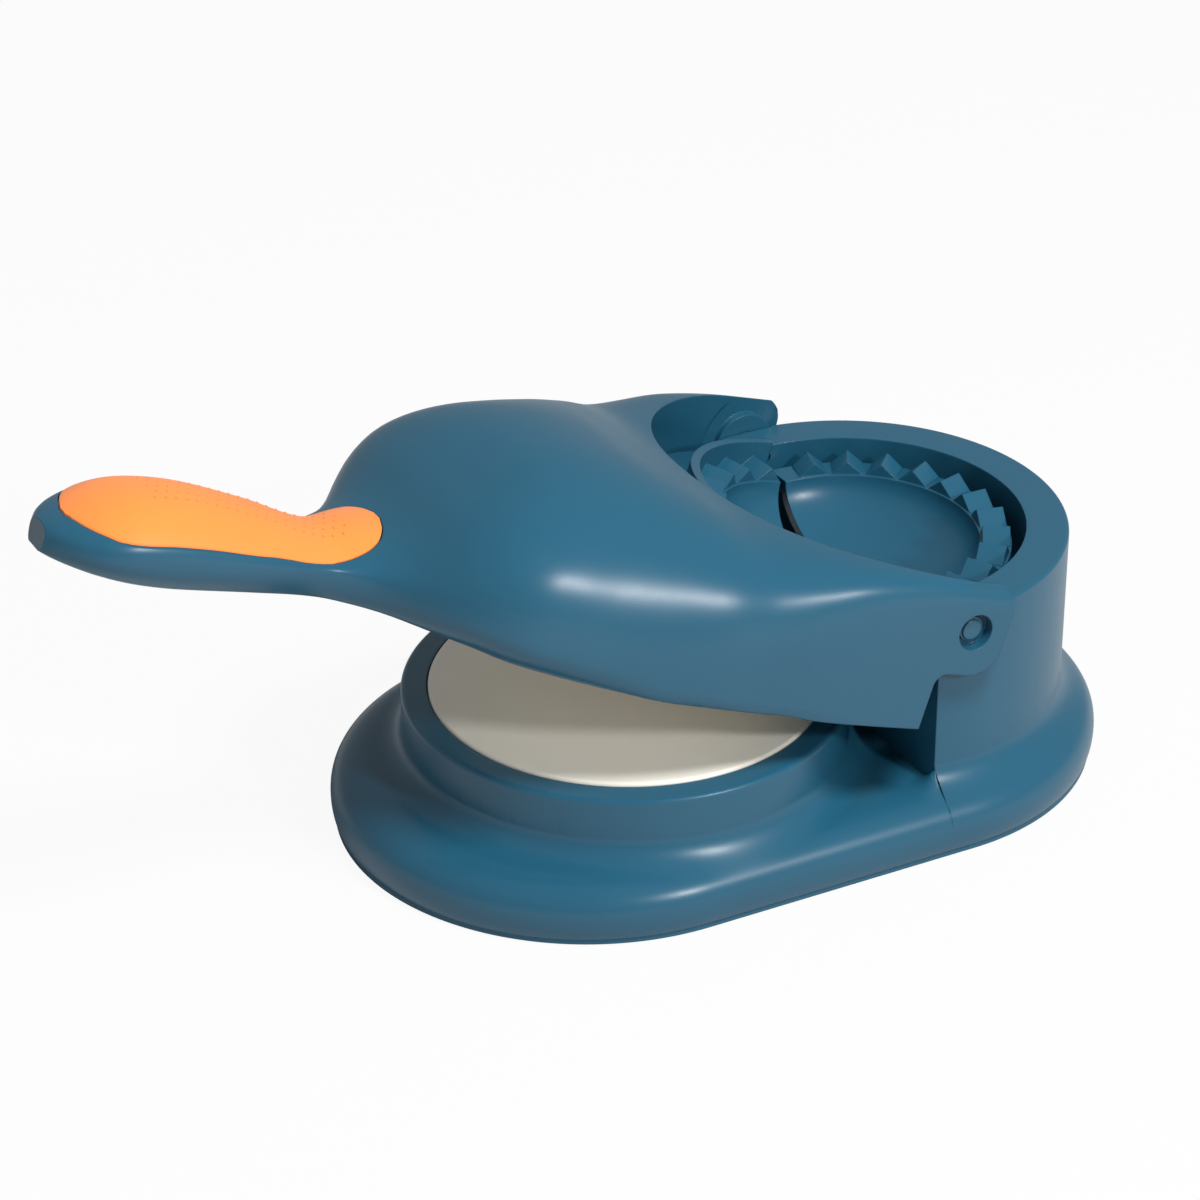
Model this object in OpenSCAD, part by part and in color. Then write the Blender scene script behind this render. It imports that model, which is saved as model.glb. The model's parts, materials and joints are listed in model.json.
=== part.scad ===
// Empanada press: a base with a round dough pad and a round tower, and a domed
// handle hinged on the tower.  Pressing the handle flattens dough on the pad.
// Folding it over closes the front half mould on the rear one and crimps the edge.
//
// Frame: origin on the ground under the centre of the pad, +X from the pad to
// the tower, +Z up.  The handle is drawn in its own frame, level, with the hinge
// axis on Y at its origin, and then raised by `lift` about that axis.

/* [Base] */
// Radius of the two round ends of the base, at the ground
base_r = 58; // [56:0.5:62]
// How far the base's front end is centred in front of the pad
nose_x = 10.2; // [8:0.2:14]
// How far the base's side bulges past its foot
base_bulge = 1.3; // [0:0.1:2.5]
// Height of the top of the base's rounded skirt
base_h = 14.7; // [12:0.1:17]
// Radius of the pad that the dough lies on
pad_r = 51.4; // [49:0.2:52]
// How far the pad's rim lies below the tower's top
pad_drop = 27.3; // [26:0.1:28]
// Distance from the pad's centre to the hinge
tower_x = 58.3; // [57.5:0.1:61]
// Radius of the tower
tower_r = 50.2; // [49:0.1:50.6]
// Height of the tower
tower_h = 57.4; // [56:0.1:62]
// Radius of the well in the tower
well_r = 40.4; // [40.3:0.1:42]
// Depth of the well
well_depth = 25; // [23:0.5:25.5]
// Wall of the base and the tower
wall = 2.6; // [2:0.1:3]

/* [Hinge] */
// How far the hinge axis lies below the tower's top
axis_drop = 3; // [3:0.1:4]
// Radius of the hinge pins
pin_r = 3; // [2:0.1:3.5]
// Angle by which the handle is raised
lift = 18.5; // [0:0.5:30]
// Radius of the handle's arm round the pin
arm_end_r = 10.2; // [9.5:0.1:10.6]
// Radius of the boss inside the arm
hub_r = 7.5; // [6:0.1:8.5]

/* [Handle] */
// Distance from the hinge to the handle's tip
handle_len = 205.5; // [198:0.5:215]
// Clearance between the tower and the handle round it
scoop_gap = 0.8; // [0.7:0.1:1]
// Thickness of the handle's arms
arm_t = 2; // [1.8:0.1:3]
// Height of the dome above the hinge axis
crown_h = 18.2; // [17:0.1:21]
// Depth of the skirt's edge below the hinge axis
skirt_drop = 24.2; // [23.8:0.1:24.4]
// Wall of the handle's shell
skin = 2.2; // [1.8:0.1:2.4]
// Half of the bar's greatest width, under the palm
palm_w = 19.6; // [18:0.2:22]
// Half of the neck's width between dome and bar
neck_w = 13.5; // [12:0.1:15]
// Height of the soft grip's crown above its edge
grip_crown = 3.4; // [2:0.1:4]
// Depth of the soft grip below its edge
grip_depth = 1.2; // [1:0.1:1.4]

/* [Press plates] */
// Radius of the pad's cream plate
plate_r = 45.2; // [43:0.1:47]
// Thickness of both cream plates
plate_t = 2.6; // [2:0.1:3]
// How far the lower plate stands above the pad's rim
plate_proud = 0.6; // [0.3:0.1:0.9]
// Radius of the plate under the dome
ram_r = 42; // [40:0.1:42.4]
// Space left between the plates for the dough when the handle is down
dough_gap = 1.2; // [1:0.1:1.6]

/* [Moulds] */
// Outer radius of the rear half mould
mould_r = 37.3; // [36.6:0.1:37.4]
// Radius of the bowl's mouth
bowl_r = 30; // [28:0.1:31]
// Depth of the bowl below the hinge axis
bowl_depth = 16.2; // [14:0.1:16.6]
// Wall of the moulds
mould_t = 2; // [1.6:0.1:2.2]
// Number of crimping teeth on the front half mould
tooth_count = 12; // [9:1:14]
// Height of a tooth from valley to crest
tooth_h = 3.2; // [2:0.1:3.6]
// Wall of the collar round the front half mould
collar_t = 2.2; // [1.6:0.1:2.4]

/* [Fasteners] */
// Radius of a screw's shank
screw_r = 1.4; // [1.2:0.1:1.6]
// Radius of a screw's head
head_r = 2.8; // [2.4:0.1:3]
// Height of the rubber feet below the base
foot_proud = 0.6; // [0.5:0.1:1]
// Radius of the rubber feet
foot_r = 7; // [5:0.5:8]

/* [Hidden] */
$fn = 96;
eps = 0.01;
slip = 0.3;            // clearance between pieces that are put together
run = 0.05;            // running clearance on the hinge pins
blue = [0.24, 0.41, 0.52];
orange = [1.0, 0.67, 0.33];
cream = [0.94, 0.93, 0.87];
steel = [0.72, 0.73, 0.75];
rubber = [0.13, 0.14, 0.15];

axis_z = tower_h - axis_drop;       // height of the hinge axis
pad_h = tower_h - pad_drop;         // height of the pad's rim
scoop_r = tower_r + scoop_gap;      // radius of the scoop that clears the tower
arm_y = scoop_r + arm_t;            // half of the width across the handle's two arms
bulge_z = 5.7;                      // height at which the base is widest
bulge_w = 12;                       // how far the base's rounded shoulder reaches in
floor_z = tower_h - well_depth;     // the well's floor
cheek_x = 6.5;                      // how far the tower's cheeks stand in front of the axis
cheek_y = 44.2;                     // inner face of the cheeks, in front of the axis
pin_in = cheek_y + 0.4;             // the pins' inner ends
shank_r = pin_r - 0.8;              // the pins' shanks, fixed in the cheeks
hub_y = tower_r - 1.2;              // the inner face of the arm's boss
seat_depth = plate_t - plate_proud; // how deep the lower plate is let into the pad
ram_z = axis_z - pad_h - plate_proud - dough_gap;  // upper plate's face, below the axis
ledge_top = -axis_drop - slip;      // the scoop's floor
ledge_t = 4;                        // thickness of the scoop's floor
collar_r = well_r - 0.4;            // outside of the front mould's collar
rim_w = axis_drop;                  // top of the collar, level with the tower's top

// ---------- smooth interpolation through a list of rows [place, a, b, ...]

function seg(s, u, i = 0) = i >= len(s) - 2 || u < s[i + 1][0] ? i : seg(s, u, i + 1);

function slope(s, i, c) =
  i == 0 ? (s[1][c] - s[0][c]) / (s[1][0] - s[0][0])
  : i == len(s) - 1 ? (s[i][c] - s[i - 1][c]) / (s[i][0] - s[i - 1][0])
  : (s[i + 1][c] - s[i - 1][c]) / (s[i + 1][0] - s[i - 1][0]);

function at(s, c, u) =
  let (i = seg(s, u), h = s[i + 1][0] - s[i][0], t = (u - s[i][0]) / h,
       m0 = slope(s, i, c) * h, m1 = slope(s, i + 1, c) * h)
  (2 * t * t * t - 3 * t * t + 1) * s[i][c] + (t * t * t - 2 * t * t + t) * m0
  + (3 * t * t - 2 * t * t * t) * s[i + 1][c] + (t * t * t - t * t) * m1;

function arc(cx, cy, rx, ry, a0, a1, n) =
  [for (i = [0:n]) let (a = a0 + (a1 - a0) * i / n) [cx + rx * cos(a), cy + ry * sin(a)]];

// ---------- the handle's form
// Each row: distance from the hinge, half width at the belly, height of the
// belly, top, half width at the lower edge, squareness of the section.
// Distances are counted from the hinge, from the pad's centre and from the tip.

pad_u = tower_x;
tip_u = handle_len;
bar_top = -9;       // the bar's shoulder, where the grip is let in
bar_low = -22.6;    // the bar's underside
bar_belly = -14.5;
neck_u = tip_u - 79;
nose = neck_u - pad_u;  // from the pad's centre to the neck
rows = [
  [-14, arm_y, -20, arm_end_r, arm_y, 9],
  [0, arm_y, -20, arm_end_r, arm_y, 9],
  [12, arm_y, -20, arm_end_r + 0.5, arm_y, 9],
  [26, arm_y, -20, 11.2, arm_y, 9],
  [pad_u - 20, arm_y, -20, 11.2, arm_y - 0.4, 7.5],
  [pad_u - 8, arm_y - 0.7, -19.5, 11.4, arm_y - 2.1, 5],
  [pad_u + 4, arm_y - 2, -18.5, crown_h - 3.8, arm_y - 4.3, 3.4],
  [pad_u + 16, arm_y - 4.4, -17.5, crown_h - 1.4, arm_y - 7.7, 2.65],
  [pad_u + 28, arm_y - 8.4, -16.5, crown_h - 0.1, arm_y - 13.9, 2.45],
  [pad_u + 38, arm_y - 11.7, -15.5, crown_h - 0.6, arm_y - 20, 2.35],
  [pad_u + 0.675 * nose, arm_y - 14.2, -15, crown_h - 2.8, arm_y - 26.6, 2.38],
  [pad_u + 0.762 * nose, arm_y - 16.7, -14.5, crown_h - 6.1, 21.8, 2.45],
  [pad_u + 0.836 * nose, arm_y - 20.1, -14, crown_h - 10.3, 18.6, 2.5],
  [pad_u + 0.902 * nose, neck_w + 14.4, -14, 3.1, 16, 2.38],
  [pad_u + 0.971 * nose, neck_w + 8.2, -14.4, -2.2, 13, 2.28],
  [neck_u + 3.5, neck_w + 1.6, bar_belly, -7.5, 10.6, 2.1],
  [neck_u + 12, neck_w + 0.2, bar_belly, -9.2, 8.4, 2.5],
  [tip_u - 52, palm_w - 2.4, bar_belly, bar_top - 0.2, 9.6, 2.8],
  [tip_u - 36, palm_w, bar_belly, bar_top + 0.6, 11, 3],
  [tip_u - 24, palm_w - 0.6, bar_belly, bar_top + 0.4, 10.4, 3],
  [tip_u - 13, palm_w - 3.6, bar_belly, bar_top - 0.8, 8.4, 2.8],
  [tip_u - 5, palm_w - 9, bar_belly + 0.4, bar_top - 1.8, 4.8, 2.5],
  [tip_u, 4, bar_belly + 1, bar_top - 4, 1.6, 2.2]
];

// Lower edge: lowest on the arms, clear of the plates over the pad, higher under the bar.
function ease(k) = let (c = min(1, max(0, k))) c * c * (3 - 2 * c);
function low_w(u) =
  let (edge = -skirt_drop + 0.8 * ease((u - pad_u + 26) / 12))
  edge + (bar_low - edge) * ease((u - pad_u - 44) / (neck_u - pad_u - 44))
  + (u > tip_u - 12 ? 3.6 * pow((u - tip_u + 12) / 12, 2) : 0);

side_n = 3;      // points between the edge and the belly
top_n = 18;      // points over the top, belly to belly

// One half-open section, from the near lower edge over the top to the far one,
// shrunk by t inside its walls.
function section(u, t) =
  let (b = at(rows, 1, u) - t, h0 = at(rows, 2, u), top = at(rows, 3, u) - t,
       e = max(at(rows, 4, u) - t, 0.4), n = at(rows, 5, u), lw = low_w(u),
       lip = lw + (t > 0 ? skin : 0),
       k = t > 0 ? 0 : 1,
       side = [for (i = [0:side_n - 1]) let (a = 90 - 90 * (i + k) / (side_n + k))
         [e + (b - e) * cos(a), h0 - (h0 - lip) * sin(a)]],
       over = [for (i = [0:top_n]) let (a = 180 * i / top_n, c = cos(a), s = sin(a))
         [b * sign(c) * pow(abs(c), 2 / n), h0 + (top - h0) * pow(s, 2 / n)]])
  concat([[-e, lw]], [for (p = side) [-p[0], p[1]]],
         [for (i = [0:top_n]) [-over[i][0], over[i][1]]],
         [for (i = [side_n - 1:-1:0]) side[i]], [[e, lw]]);

// Stations along the handle, closer together where it bends.
stations = concat([-14, 0, 14, 28], [for (k = [0:8]) 37 + (pad_u + 32 - 37) * k / 8],
                  [for (k = [1:9]) pad_u + 32 + (neck_u + 4 - pad_u - 32) * k / 9],
                  [for (k = [1:6]) neck_u + 4 + (tip_u - 16 - neck_u) * k / 6],
                  [for (k = [1:5]) tip_u - 12 + 12 * sin(18 * k)]);

// Height of the outside at distance u and width y.
function surf(u, y) =
  let (b = at(rows, 1, u), h0 = at(rows, 2, u), n = at(rows, 5, u))
  h0 + (at(rows, 3, u) - h0) * pow(max(0, 1 - pow(abs(y) / b, n)), 1 / n);

// Closes a list of rings of equal length, in order along the handle.
module loft(rings) {
  m = len(rings[0]);
  n = len(rings);
  polyhedron([for (r = rings) each r], concat(
    [for (i = [0:n - 2]) for (j = [0:m - 1]) let (k = (j + 1) % m) each [
      [i * m + j, i * m + k, (i + 1) * m + k], [i * m + j, (i + 1) * m + k, (i + 1) * m + j]]],
    [for (j = [1:m - 2]) each [[0, j + 1, j],
      [(n - 1) * m, (n - 1) * m + j, (n - 1) * m + j + 1]]]));
}

// The open-bottomed shell, as one closed skin: outside, inside and the edge between.
module handle_skin(t) {
  n = len(stations);
  m = 2 * side_n + top_n + 3;
  last = tip_u - t;
  outer = [for (u = stations) for (p = section(u, 0)) [-u, p[0], p[1]]];
  inner = [for (u = stations) let (v = min(u, last - (stations[n - 1] - u) * 0.2))
             for (p = section(v, t)) [-v, p[0], p[1]]];
  k = n * m;
  function o(i, j) = i * m + j;
  function q(i, j) = k + i * m + j;
  walls = [for (i = [0:n - 2]) for (j = [0:m - 2]) each [
    [o(i, j), o(i + 1, j), o(i + 1, j + 1)], [o(i, j), o(i + 1, j + 1), o(i, j + 1)],
    [q(i, j), q(i + 1, j + 1), q(i + 1, j)], [q(i, j), q(i, j + 1), q(i + 1, j + 1)]]];
  rear = [for (j = [0:m - 2]) each [
    [o(0, j), o(0, j + 1), q(0, j + 1)], [o(0, j), q(0, j + 1), q(0, j)]]];
  edges = [for (i = [0:n - 2]) each [
    [o(i, 0), q(i + 1, 0), o(i + 1, 0)], [o(i, 0), q(i, 0), q(i + 1, 0)],
    [o(i, m - 1), o(i + 1, m - 1), q(i + 1, m - 1)],
    [o(i, m - 1), q(i + 1, m - 1), q(i, m - 1)]]];
  tip = [for (j = [1:m - 2]) [o(n - 1, 0), o(n - 1, j + 1), o(n - 1, j)]];
  back = [for (j = [1:m - 2]) [q(n - 1, 0), q(n - 1, j), q(n - 1, j + 1)]];
  foot = [[o(n - 1, 0), q(n - 1, m - 1), o(n - 1, m - 1)],
          [o(n - 1, 0), q(n - 1, 0), q(n - 1, m - 1)]];
  polyhedron(concat(outer, inner), concat(walls, rear, edges, tip, back, foot));
}

// Puts a piece drawn level in the handle's frame at its place on the press.
module on_handle() translate([tower_x, 0, axis_z]) rotate([0, lift, 0]) children();

// A cylinder along Y between two distances from the middle, on side -1 or 1.
module across(r, y0, y1, side)
  rotate([side > 0 ? -90 : 90, 0, 0]) translate([0, 0, y0]) cylinder(h = y1 - y0, r = r);

// A pan-head screw with its head at z = 0, pointing up.
module screw(length) {
  cylinder(h = 1.8, r = head_r);
  translate([0, 0, 1.8]) cylinder(h = length - 1.8, r = screw_r);
}

// ---------- the base

base_bolts = [[14 - nose_x - base_r, 0], [0, 14 - base_r], [0, base_r - 14],
              [tower_x + 0.58 * base_r, -0.45 * base_r], [tower_x + 0.58 * base_r, 0.45 * base_r]];
feet = [[0, 0], [-0.55 * base_r - nose_x, -0.48 * base_r], [-0.55 * base_r - nose_x, 0.48 * base_r],
        [tower_x + 0.5 * base_r, 0], [tower_x + 8, 14 - base_r], [tower_x + 8, base_r - 14]];
plate_bolts = [for (a = [30, 150, 270]) 0.66 * plate_r * [cos(a), sin(a)]];
rear_bolts = [[tower_x + 12, -20], [tower_x + 12, 20]];

function skirt_profile(r, inset) = concat(
  [[0, foot_proud], [r - inset, foot_proud]],
  arc(r + base_bulge - 3 - inset, bulge_z, 3, bulge_z - foot_proud - 1, -60, 0, 3),
  arc(r + base_bulge - bulge_w - inset, bulge_z, bulge_w, base_h - bulge_z - inset, 9, 90, 9),
  [[0, base_h - inset]]);

// The rounded slot that the base stands on.
module slot(inset) {
  for (x = [-nose_x, tower_x]) translate([x, 0, 0])
    rotate_extrude() polygon(skirt_profile(base_r, inset));
  for (s = [-1, 1]) translate([-nose_x, 0, 0]) rotate([90, 0, 90])
    linear_extrude(tower_x + nose_x) scale([s, 1]) polygon(skirt_profile(base_r, inset));
}

// A wall of revolution with a hollow fillet at its foot.
module column(r, h, edge, foot_w)
  rotate_extrude() polygon(concat([[0, base_h / 2], [r + foot_w, base_h / 2]],
    arc(r + foot_w, base_h - 1 + foot_w, foot_w, foot_w, 270, 180, 5),
    arc(r - edge, h - edge, edge, edge, 0, 90, 4), [[0, h]]));

module tower_solid()
  intersection() {
    translate([tower_x, 0, 0]) column(tower_r, tower_h, 0.8, 3);
    translate([tower_x - cheek_x, -2 * tower_r, 0]) cube([4 * tower_r, 4 * tower_r, 2 * tower_h]);
  }

module base_shell() color(blue) difference() {
  union() {
    slot(0);
    column(pad_r, pad_h, 1.2, 3.6);
    tower_solid();
  }
  // the hollow inside, closed by the cover
  difference() {
    union() {
      translate([0, 0, -eps]) cylinder(h = pad_h - seat_depth - wall + eps, r = pad_r - wall);
      hull() for (x = [-nose_x, tower_x]) translate([x, 0, -eps])
        cylinder(h = bulge_z + 2, r = base_r - 1.5 * wall);
      intersection() {
        translate([tower_x, 0, -eps]) cylinder(h = floor_z - wall + eps, r = tower_r - wall);
        translate([tower_x - cheek_x + wall, -tower_r, -eps])
          cube([2 * tower_r, 2 * tower_r, floor_z - wall + eps]);
      }
    }
    for (p = base_bolts) translate([p[0], p[1], 3.4]) cylinder(h = pad_h, r = 3.6);
  }
  // seat of the lower plate
  translate([0, 0, pad_h - seat_depth]) cylinder(h = plate_t, r = plate_r + slip);
  for (p = plate_bolts) translate([p[0], p[1], 0]) cylinder(h = pad_h, r = 3.2);
  // the well, open towards the handle
  translate([tower_x, 0, floor_z]) cylinder(h = well_depth + 1, r = well_r);
  translate([tower_x - cheek_x - 1, -cheek_y, floor_z])
    cube([cheek_x + 1, 2 * cheek_y, well_depth + 1]);
  for (p = rear_bolts) translate([p[0], p[1], 0]) cylinder(h = tower_h, r = screw_r + 0.2);
  // pockets for the arms' bosses, and the bores of the pins
  for (s = [-1, 1]) translate([tower_x, 0, axis_z]) {
    across(hub_r + slip, hub_y - slip, tower_r + 2, s);
    across(shank_r + 0.03, well_r - 5, tower_r, s);
  }
  for (p = base_bolts) translate([p[0], p[1], 0]) cylinder(h = 11, r = screw_r);
}

module base_cover() color(blue) difference() {
  hull() for (x = [-nose_x, tower_x]) translate([x, 0, foot_proud])
    cylinder(h = 3.4 - foot_proud, r = base_r - 1.5 * wall - slip);
  for (p = feet) translate([p[0], p[1], 0]) cylinder(h = 2, r = foot_r + 0.2);
  for (p = base_bolts) translate([p[0], p[1], 0]) {
    cylinder(h = 6, r = screw_r + 0.2);
    cylinder(h = 2.4, r = head_r + 0.3);
  }
}

module base_screws() color(steel)
  for (p = base_bolts) translate([p[0], p[1], foot_proud]) screw(9);

module foot_pads() color(rubber)
  for (p = feet) translate([p[0], p[1], 0])
    rotate_extrude() polygon([[0, 0], [foot_r - 0.5, 0], [foot_r, 0.5], [foot_r, 2], [0, 2]]);

module press_plate_lower() color(cream) {
  translate([0, 0, pad_h - seat_depth]) rotate_extrude()
    polygon(concat([[0, 0], [plate_r, 0]],
      arc(plate_r - 0.8, plate_t - 0.8, 0.8, 0.8, 0, 90, 4), [[0, plate_t]]));
  for (p = plate_bolts) translate([p[0], p[1], pad_h - seat_depth - 8])
    difference() {
      cylinder(h = 8 + eps, r = 3);
      translate([0, 0, -eps]) cylinder(h = 7, r = screw_r - 0.2);
    }
}

module lower_plate_screws() color(steel)
  for (p = plate_bolts) translate([p[0], p[1], pad_h - seat_depth - 8 - 1.8])
    difference() {
      union() {
        cylinder(h = 1.8, r = 5);
        cylinder(h = 7, r = screw_r - 0.2);
      }
      translate([0, 0, -eps]) cylinder(h = 0.9, r = 1.2, $fn = 6);
    }

// ---------- the moulds

tooth_pitch = 180 / tooth_count;
tooth_w = 2 * bowl_r * sin(tooth_pitch / 2) - 0.5;   // narrower than the pitch where it is least

// Half a bowl, turned about the vertical through the hinge's middle.
module half_bowl(r_out, low) {
  cavity = arc(0, -tooth_h / 2, bowl_r, bowl_depth - tooth_h / 2, -90, 0, 9);
  back = arc(0, -tooth_h / 2 - 2, bowl_r + mould_t, bowl_depth - tooth_h / 2 - 2 + mould_t, 0, -90, 9);
  rotate([0, 0, -90]) rotate_extrude(angle = 180)
    polygon(concat(cavity, [[r_out, -tooth_h / 2 - slip], [r_out, -low]],
                   [for (p = back) if (p[1] <= -low) p], [[0, -bowl_depth - mould_t]]));
}

// A ring of radial wedge teeth, from the bowl's mouth to r_out, at the given angles.
module teeth(r_out, angles)
  for (a = angles) rotate([0, 0, a]) translate([bowl_r + 0.4, 0, 0])
    rotate([90, 0, 90]) linear_extrude(r_out - bowl_r - 0.4)
      polygon([[-tooth_w / 2, -tooth_h / 2], [-tooth_w / 2, -tooth_h], [tooth_w / 2, -tooth_h],
               [tooth_w / 2, -tooth_h / 2], [0, tooth_h / 2]]);

module rear_mould() color(blue) translate([tower_x, 0, axis_z]) difference() {
  union() {
    half_bowl(mould_r, 5);
    teeth(mould_r - 0.5, [for (k = [1:tooth_count - 1]) -90 + k * tooth_pitch]);
    for (p = rear_bolts) translate([p[0] - tower_x, p[1], floor_z - axis_z])
      cylinder(h = 8.6, r = 3.4);
  }
  translate([-1, -mould_r, -20]) cube([1.4, 2 * mould_r, 30]);
  for (p = rear_bolts) translate([p[0] - tower_x, p[1], floor_z - axis_z - eps])
    cylinder(h = 8, r = screw_r - 0.2);
}

module rear_mould_screws() color(steel)
  for (p = rear_bolts) translate([p[0], p[1], floor_z - wall - 1.8]) {
    cylinder(h = 1.8, r = head_r);
    cylinder(h = 9, r = screw_r - 0.2);
  }

module pivot_pin(side) translate([tower_x, 0, axis_z]) {
  across(shank_r, pin_in, hub_y, side);
  across(pin_r, hub_y - slip + 0.1, arm_y - 0.9, side);
  across(pin_r - 0.6, hub_y, arm_y - 0.4, side);
}
module pivot_pin_near() color(blue) pivot_pin(-1);
module pivot_pin_far() color(blue) pivot_pin(1);

// ---------- the handle, drawn level

u_flange = cheek_x + 2.6;              // where the front mould's flange starts
ledge_w = ledge_top - ledge_t;         // underside of the scoop's floor
flange_r = collar_r + 5.5;             // outside of the front mould's flange
flange_t = 2;
carrier_w = plate_t - ram_z;           // underside of the plate carrier
carrier_t = 2;
cover_t = 2.4;                         // the bar's underside cover
cover_u = pad_u + 57;                  // where that cover starts
carrier_u0 = pad_u - ram_r;            // where the plate carrier starts
mould_bolts = [for (a = [-62, 0, 62]) (collar_r + 2.8) * [-cos(a), sin(a)]];
bar_bolts = [neck_u + 6, tip_u - 30];
carrier_bolts = [for (s = [-1, 1]) each [[pad_u - 12, s * 41], [pad_u + 38, s * 17]]];
ram_bolts = [for (s = [-1, 1]) each [[pad_u - 4, s * 32], [pad_u + 28, s * 12]]];

// Half a ring in front of the line u0, between two radii and two heights.
module front_ring(r0, r1, w0, w1, u0)
  intersection() {
    translate([0, 0, w0]) difference() {
      cylinder(h = w1 - w0, r = r1);
      translate([0, 0, -1]) cylinder(h = w1 - w0 + 2, r = r0);
    }
    translate([-2 * r1, -2 * r1, w0 - 1]) cube([2 * r1 - u0, 4 * r1, w1 - w0 + 2]);
  }

// A boss hanging from the shell's roof at distance u and width y, down to height w.
module boss(u, y, w, r)
  translate([-u, y, w]) cylinder(h = surf(u, abs(y) + r) - 0.8 - w, r = r);

module handle_shell() color(blue) on_handle() difference() {
  union() {
    difference() {
      union() {
        handle_skin(skin);
        front_ring(scoop_r - 2, scoop_r + 1.8, ledge_w, arm_end_r - 0.6, 0);
      }
      // the scoop, and the arms' ends behind the skirt
      translate([0, 0, -tower_r]) cylinder(h = 2 * tower_r, r = scoop_r);
      difference() {
        translate([-cheek_x - 0.1, -2 * tower_r, -tower_r]) cube([tower_r, 4 * tower_r, 2 * tower_r]);
        across(arm_end_r, -2 * tower_r, 2 * tower_r, 1);
        translate([-tower_r, -2 * tower_r, 0]) cube([tower_r, 4 * tower_r, 2 * tower_r]);
      }
      // the arms' ends turn past the tower, so they are hollowed a little
      for (s = [-1, 1]) across(arm_end_r + 1, tower_r - 4, tower_r + 0.4, s);
    }
    front_ring(collar_r + 0.6, scoop_r + 1, ledge_w, ledge_top, u_flange);
    for (s = [-1, 1]) across(hub_r, hub_y, arm_y - 1, s);
    for (p = carrier_bolts) boss(p[0], p[1], carrier_w + carrier_t, 3);
    for (u = bar_bolts) boss(u, 0, bar_low + cover_t, 3.4);
  }
  for (s = [-1, 1]) {
    across(pin_r + run, hub_y - 1, arm_y + 2, s);
    across(pin_r + 1.3, arm_y - 1.6, arm_y + 2, s);
  }
  for (p = mould_bolts) translate([p[0], p[1], ledge_w - eps]) cylinder(h = ledge_t - 0.8, r = screw_r);
  for (p = carrier_bolts) translate([-p[0], p[1], carrier_w]) cylinder(h = 12, r = screw_r);
  for (u = bar_bolts) translate([-u, 0, bar_low]) cylinder(h = 9, r = screw_r);
  grip_solid(0.15);
}

// The lid that closes the bar from below, between the shell's lower edges.
module handle_underside() color(blue) on_handle() difference() {
  loft([for (u = concat([cover_u], [for (s = stations) if (s > cover_u && s < tip_u - skin - 1) s],
                        [tip_u - skin - slip]))
    let (h = max(at(rows, 4, u) - skin - slip, 0.5), w = low_w(u))
    [[-u, -h, w], [-u, h, w], [-u, h, w + cover_t], [-u, -h, w + cover_t]]]);
  for (u = bar_bolts) translate([-u, 0, bar_low - 1]) {
    cylinder(h = 9, r = screw_r + 0.2);
    cylinder(h = 2.2, r = head_r + 0.3);
  }
}

module handle_screws() color(steel) on_handle()
  for (u = bar_bolts) translate([-u, 0, bar_low - 0.6]) screw(9);

// The soft grip: a leaf let into the bar's top, crowned, with its widest part under the palm.
grip_u0 = neck_u - 5;
grip_u1 = tip_u - 6;
grip_rows = [
  [grip_u0, 1.5], [grip_u0 + 1.5, 5.2], [grip_u0 + 5, 9.2], [neck_u + 5, 11.2], [neck_u + 14, 12.6],
  [neck_u + 25, palm_w - 3.4], [tip_u - 44, palm_w - 1.4], [tip_u - 34, palm_w - 1],
  [tip_u - 25, palm_w - 2.2], [tip_u - 16, palm_w - 6], [grip_u1 - 3, palm_w - 12], [grip_u1, 1.5]
];
module grip_solid(gap) {
  us = [for (k = [0:16]) let (a = 180 * k / 16) (grip_u0 + grip_u1) / 2 - (grip_u1 - grip_u0) / 2 * cos(a)];
  n = 8;
  loft([for (u = us)
    let (g = max(at(grip_rows, 1, u), 1.5) + gap, v = u + gap * (u > neck_u + 20 ? 1 : -1),
         k = 1 - pow(abs(2 * (u - grip_u0) / (grip_u1 - grip_u0) - 1), 4),
         ys = [for (i = [0:n]) g * cos(180 * i / n)])
    concat([for (y = ys) [-v, y, surf(u, y) + (gap > 0 ? 5 : 0.2 + grip_crown * k * (1 - pow(y / g, 2)))]],
           [for (i = [n:-1:0]) [-v, ys[i], surf(u, ys[i]) - grip_depth - gap]])]);
}
module grip_insert() color(orange) on_handle() grip_solid(0);

module plate_carrier() color(blue) on_handle() difference() {
  translate([0, 0, carrier_w]) linear_extrude(carrier_t) polygon(
    [for (s = [-1, 1]) each [for (k = [0:12])
      let (a = s < 0 ? k : 12 - k, u = carrier_u0 + (cover_u - 1 - carrier_u0) * a / 12)
      [-u, s * (at(rows, 4, u) - skin - slip)]]]);
  for (p = carrier_bolts) translate([-p[0], p[1], carrier_w - 1]) cylinder(h = 9, r = screw_r + 0.2);
  for (p = ram_bolts) translate([-p[0], p[1], carrier_w - 1]) cylinder(h = 9, r = 3.2);
}

module carrier_screws() color(steel) on_handle()
  for (p = carrier_bolts) translate([-p[0], p[1], carrier_w - 1.8]) screw(11);

module press_plate_upper() color(cream) on_handle() {
  difference() {
    translate([-pad_u, 0, carrier_w]) rotate([180, 0, 0]) rotate_extrude()
      polygon(concat([[0, 0], [ram_r, 0]],
        arc(ram_r - 0.8, plate_t - 0.8, 0.8, 0.8, 0, 90, 4), [[0, plate_t]]));
    // pockets that clear the carrier's screw heads
    for (p = carrier_bolts) translate([-p[0], p[1], carrier_w - 2]) cylinder(h = 3, r = head_r + 0.3);
  }
  for (p = ram_bolts) translate([-p[0], p[1], carrier_w - eps]) difference() {
    cylinder(h = carrier_t, r = 3);
    translate([0, 0, 0.5]) cylinder(h = 7, r = screw_r - 0.2);
  }
}

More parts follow.
